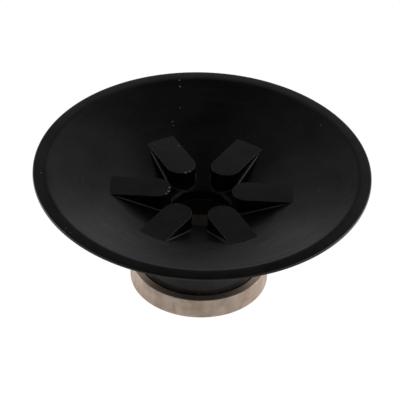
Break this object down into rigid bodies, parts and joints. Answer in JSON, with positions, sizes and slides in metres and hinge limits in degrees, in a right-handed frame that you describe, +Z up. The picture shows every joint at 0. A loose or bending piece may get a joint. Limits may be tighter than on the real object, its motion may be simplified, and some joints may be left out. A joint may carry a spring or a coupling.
{
  "type": "garbage disposal feed cone",
  "caption": "Wide black feed cone with guard lugs round a small throat, a metal pipe sleeve in its neck, and a metal mounting ring that swivels under it.",
  "frame": {"origin": "centre of the mounting ring's underside, on the axis of the throat", "axes": "+Z up along the throat's axis, +X through the middle of guard_lug_1"},
  "size_m": [0.114, 0.114, 0.0447],
  "materials": {
    "black_coat": "turned aluminium, black anodised, matte",
    "sleeve_metal": "turned stainless steel, warm tint",
    "plated_ring": "brass, warm nickel plate, polished with turning marks",
    "spring_wire": "bright spring wire",
    "seal_rubber": "moulded rubber, satin",
    "gasket_rubber": "cut sheet rubber, dull"
  },
  "bodies": {
    "cone": {"feed_cone": "black_coat", "guard_lug_1": "black_coat", "guard_lug_2": "black_coat", "guard_lug_3": "black_coat", "guard_lug_4": "black_coat", "guard_lug_5": "black_coat", "guard_lug_6": "black_coat", "throat_sleeve": "sleeve_metal", "sleeve_seal_upper": "seal_rubber", "sleeve_seal_lower": "seal_rubber", "inlet_gasket": "gasket_rubber", "rim_seal": "seal_rubber", "snap_ring": "spring_wire"},
    "swivel_ring": {"mounting_ring": "plated_ring"}
  },
  "joints": [
    {"name": "ring_turn", "type": "hinge", "parent": "cone", "child": "swivel_ring", "pos_m": [0, 0, 0.0039], "axis": [0, 0, 1], "continuous": true}
  ]
}
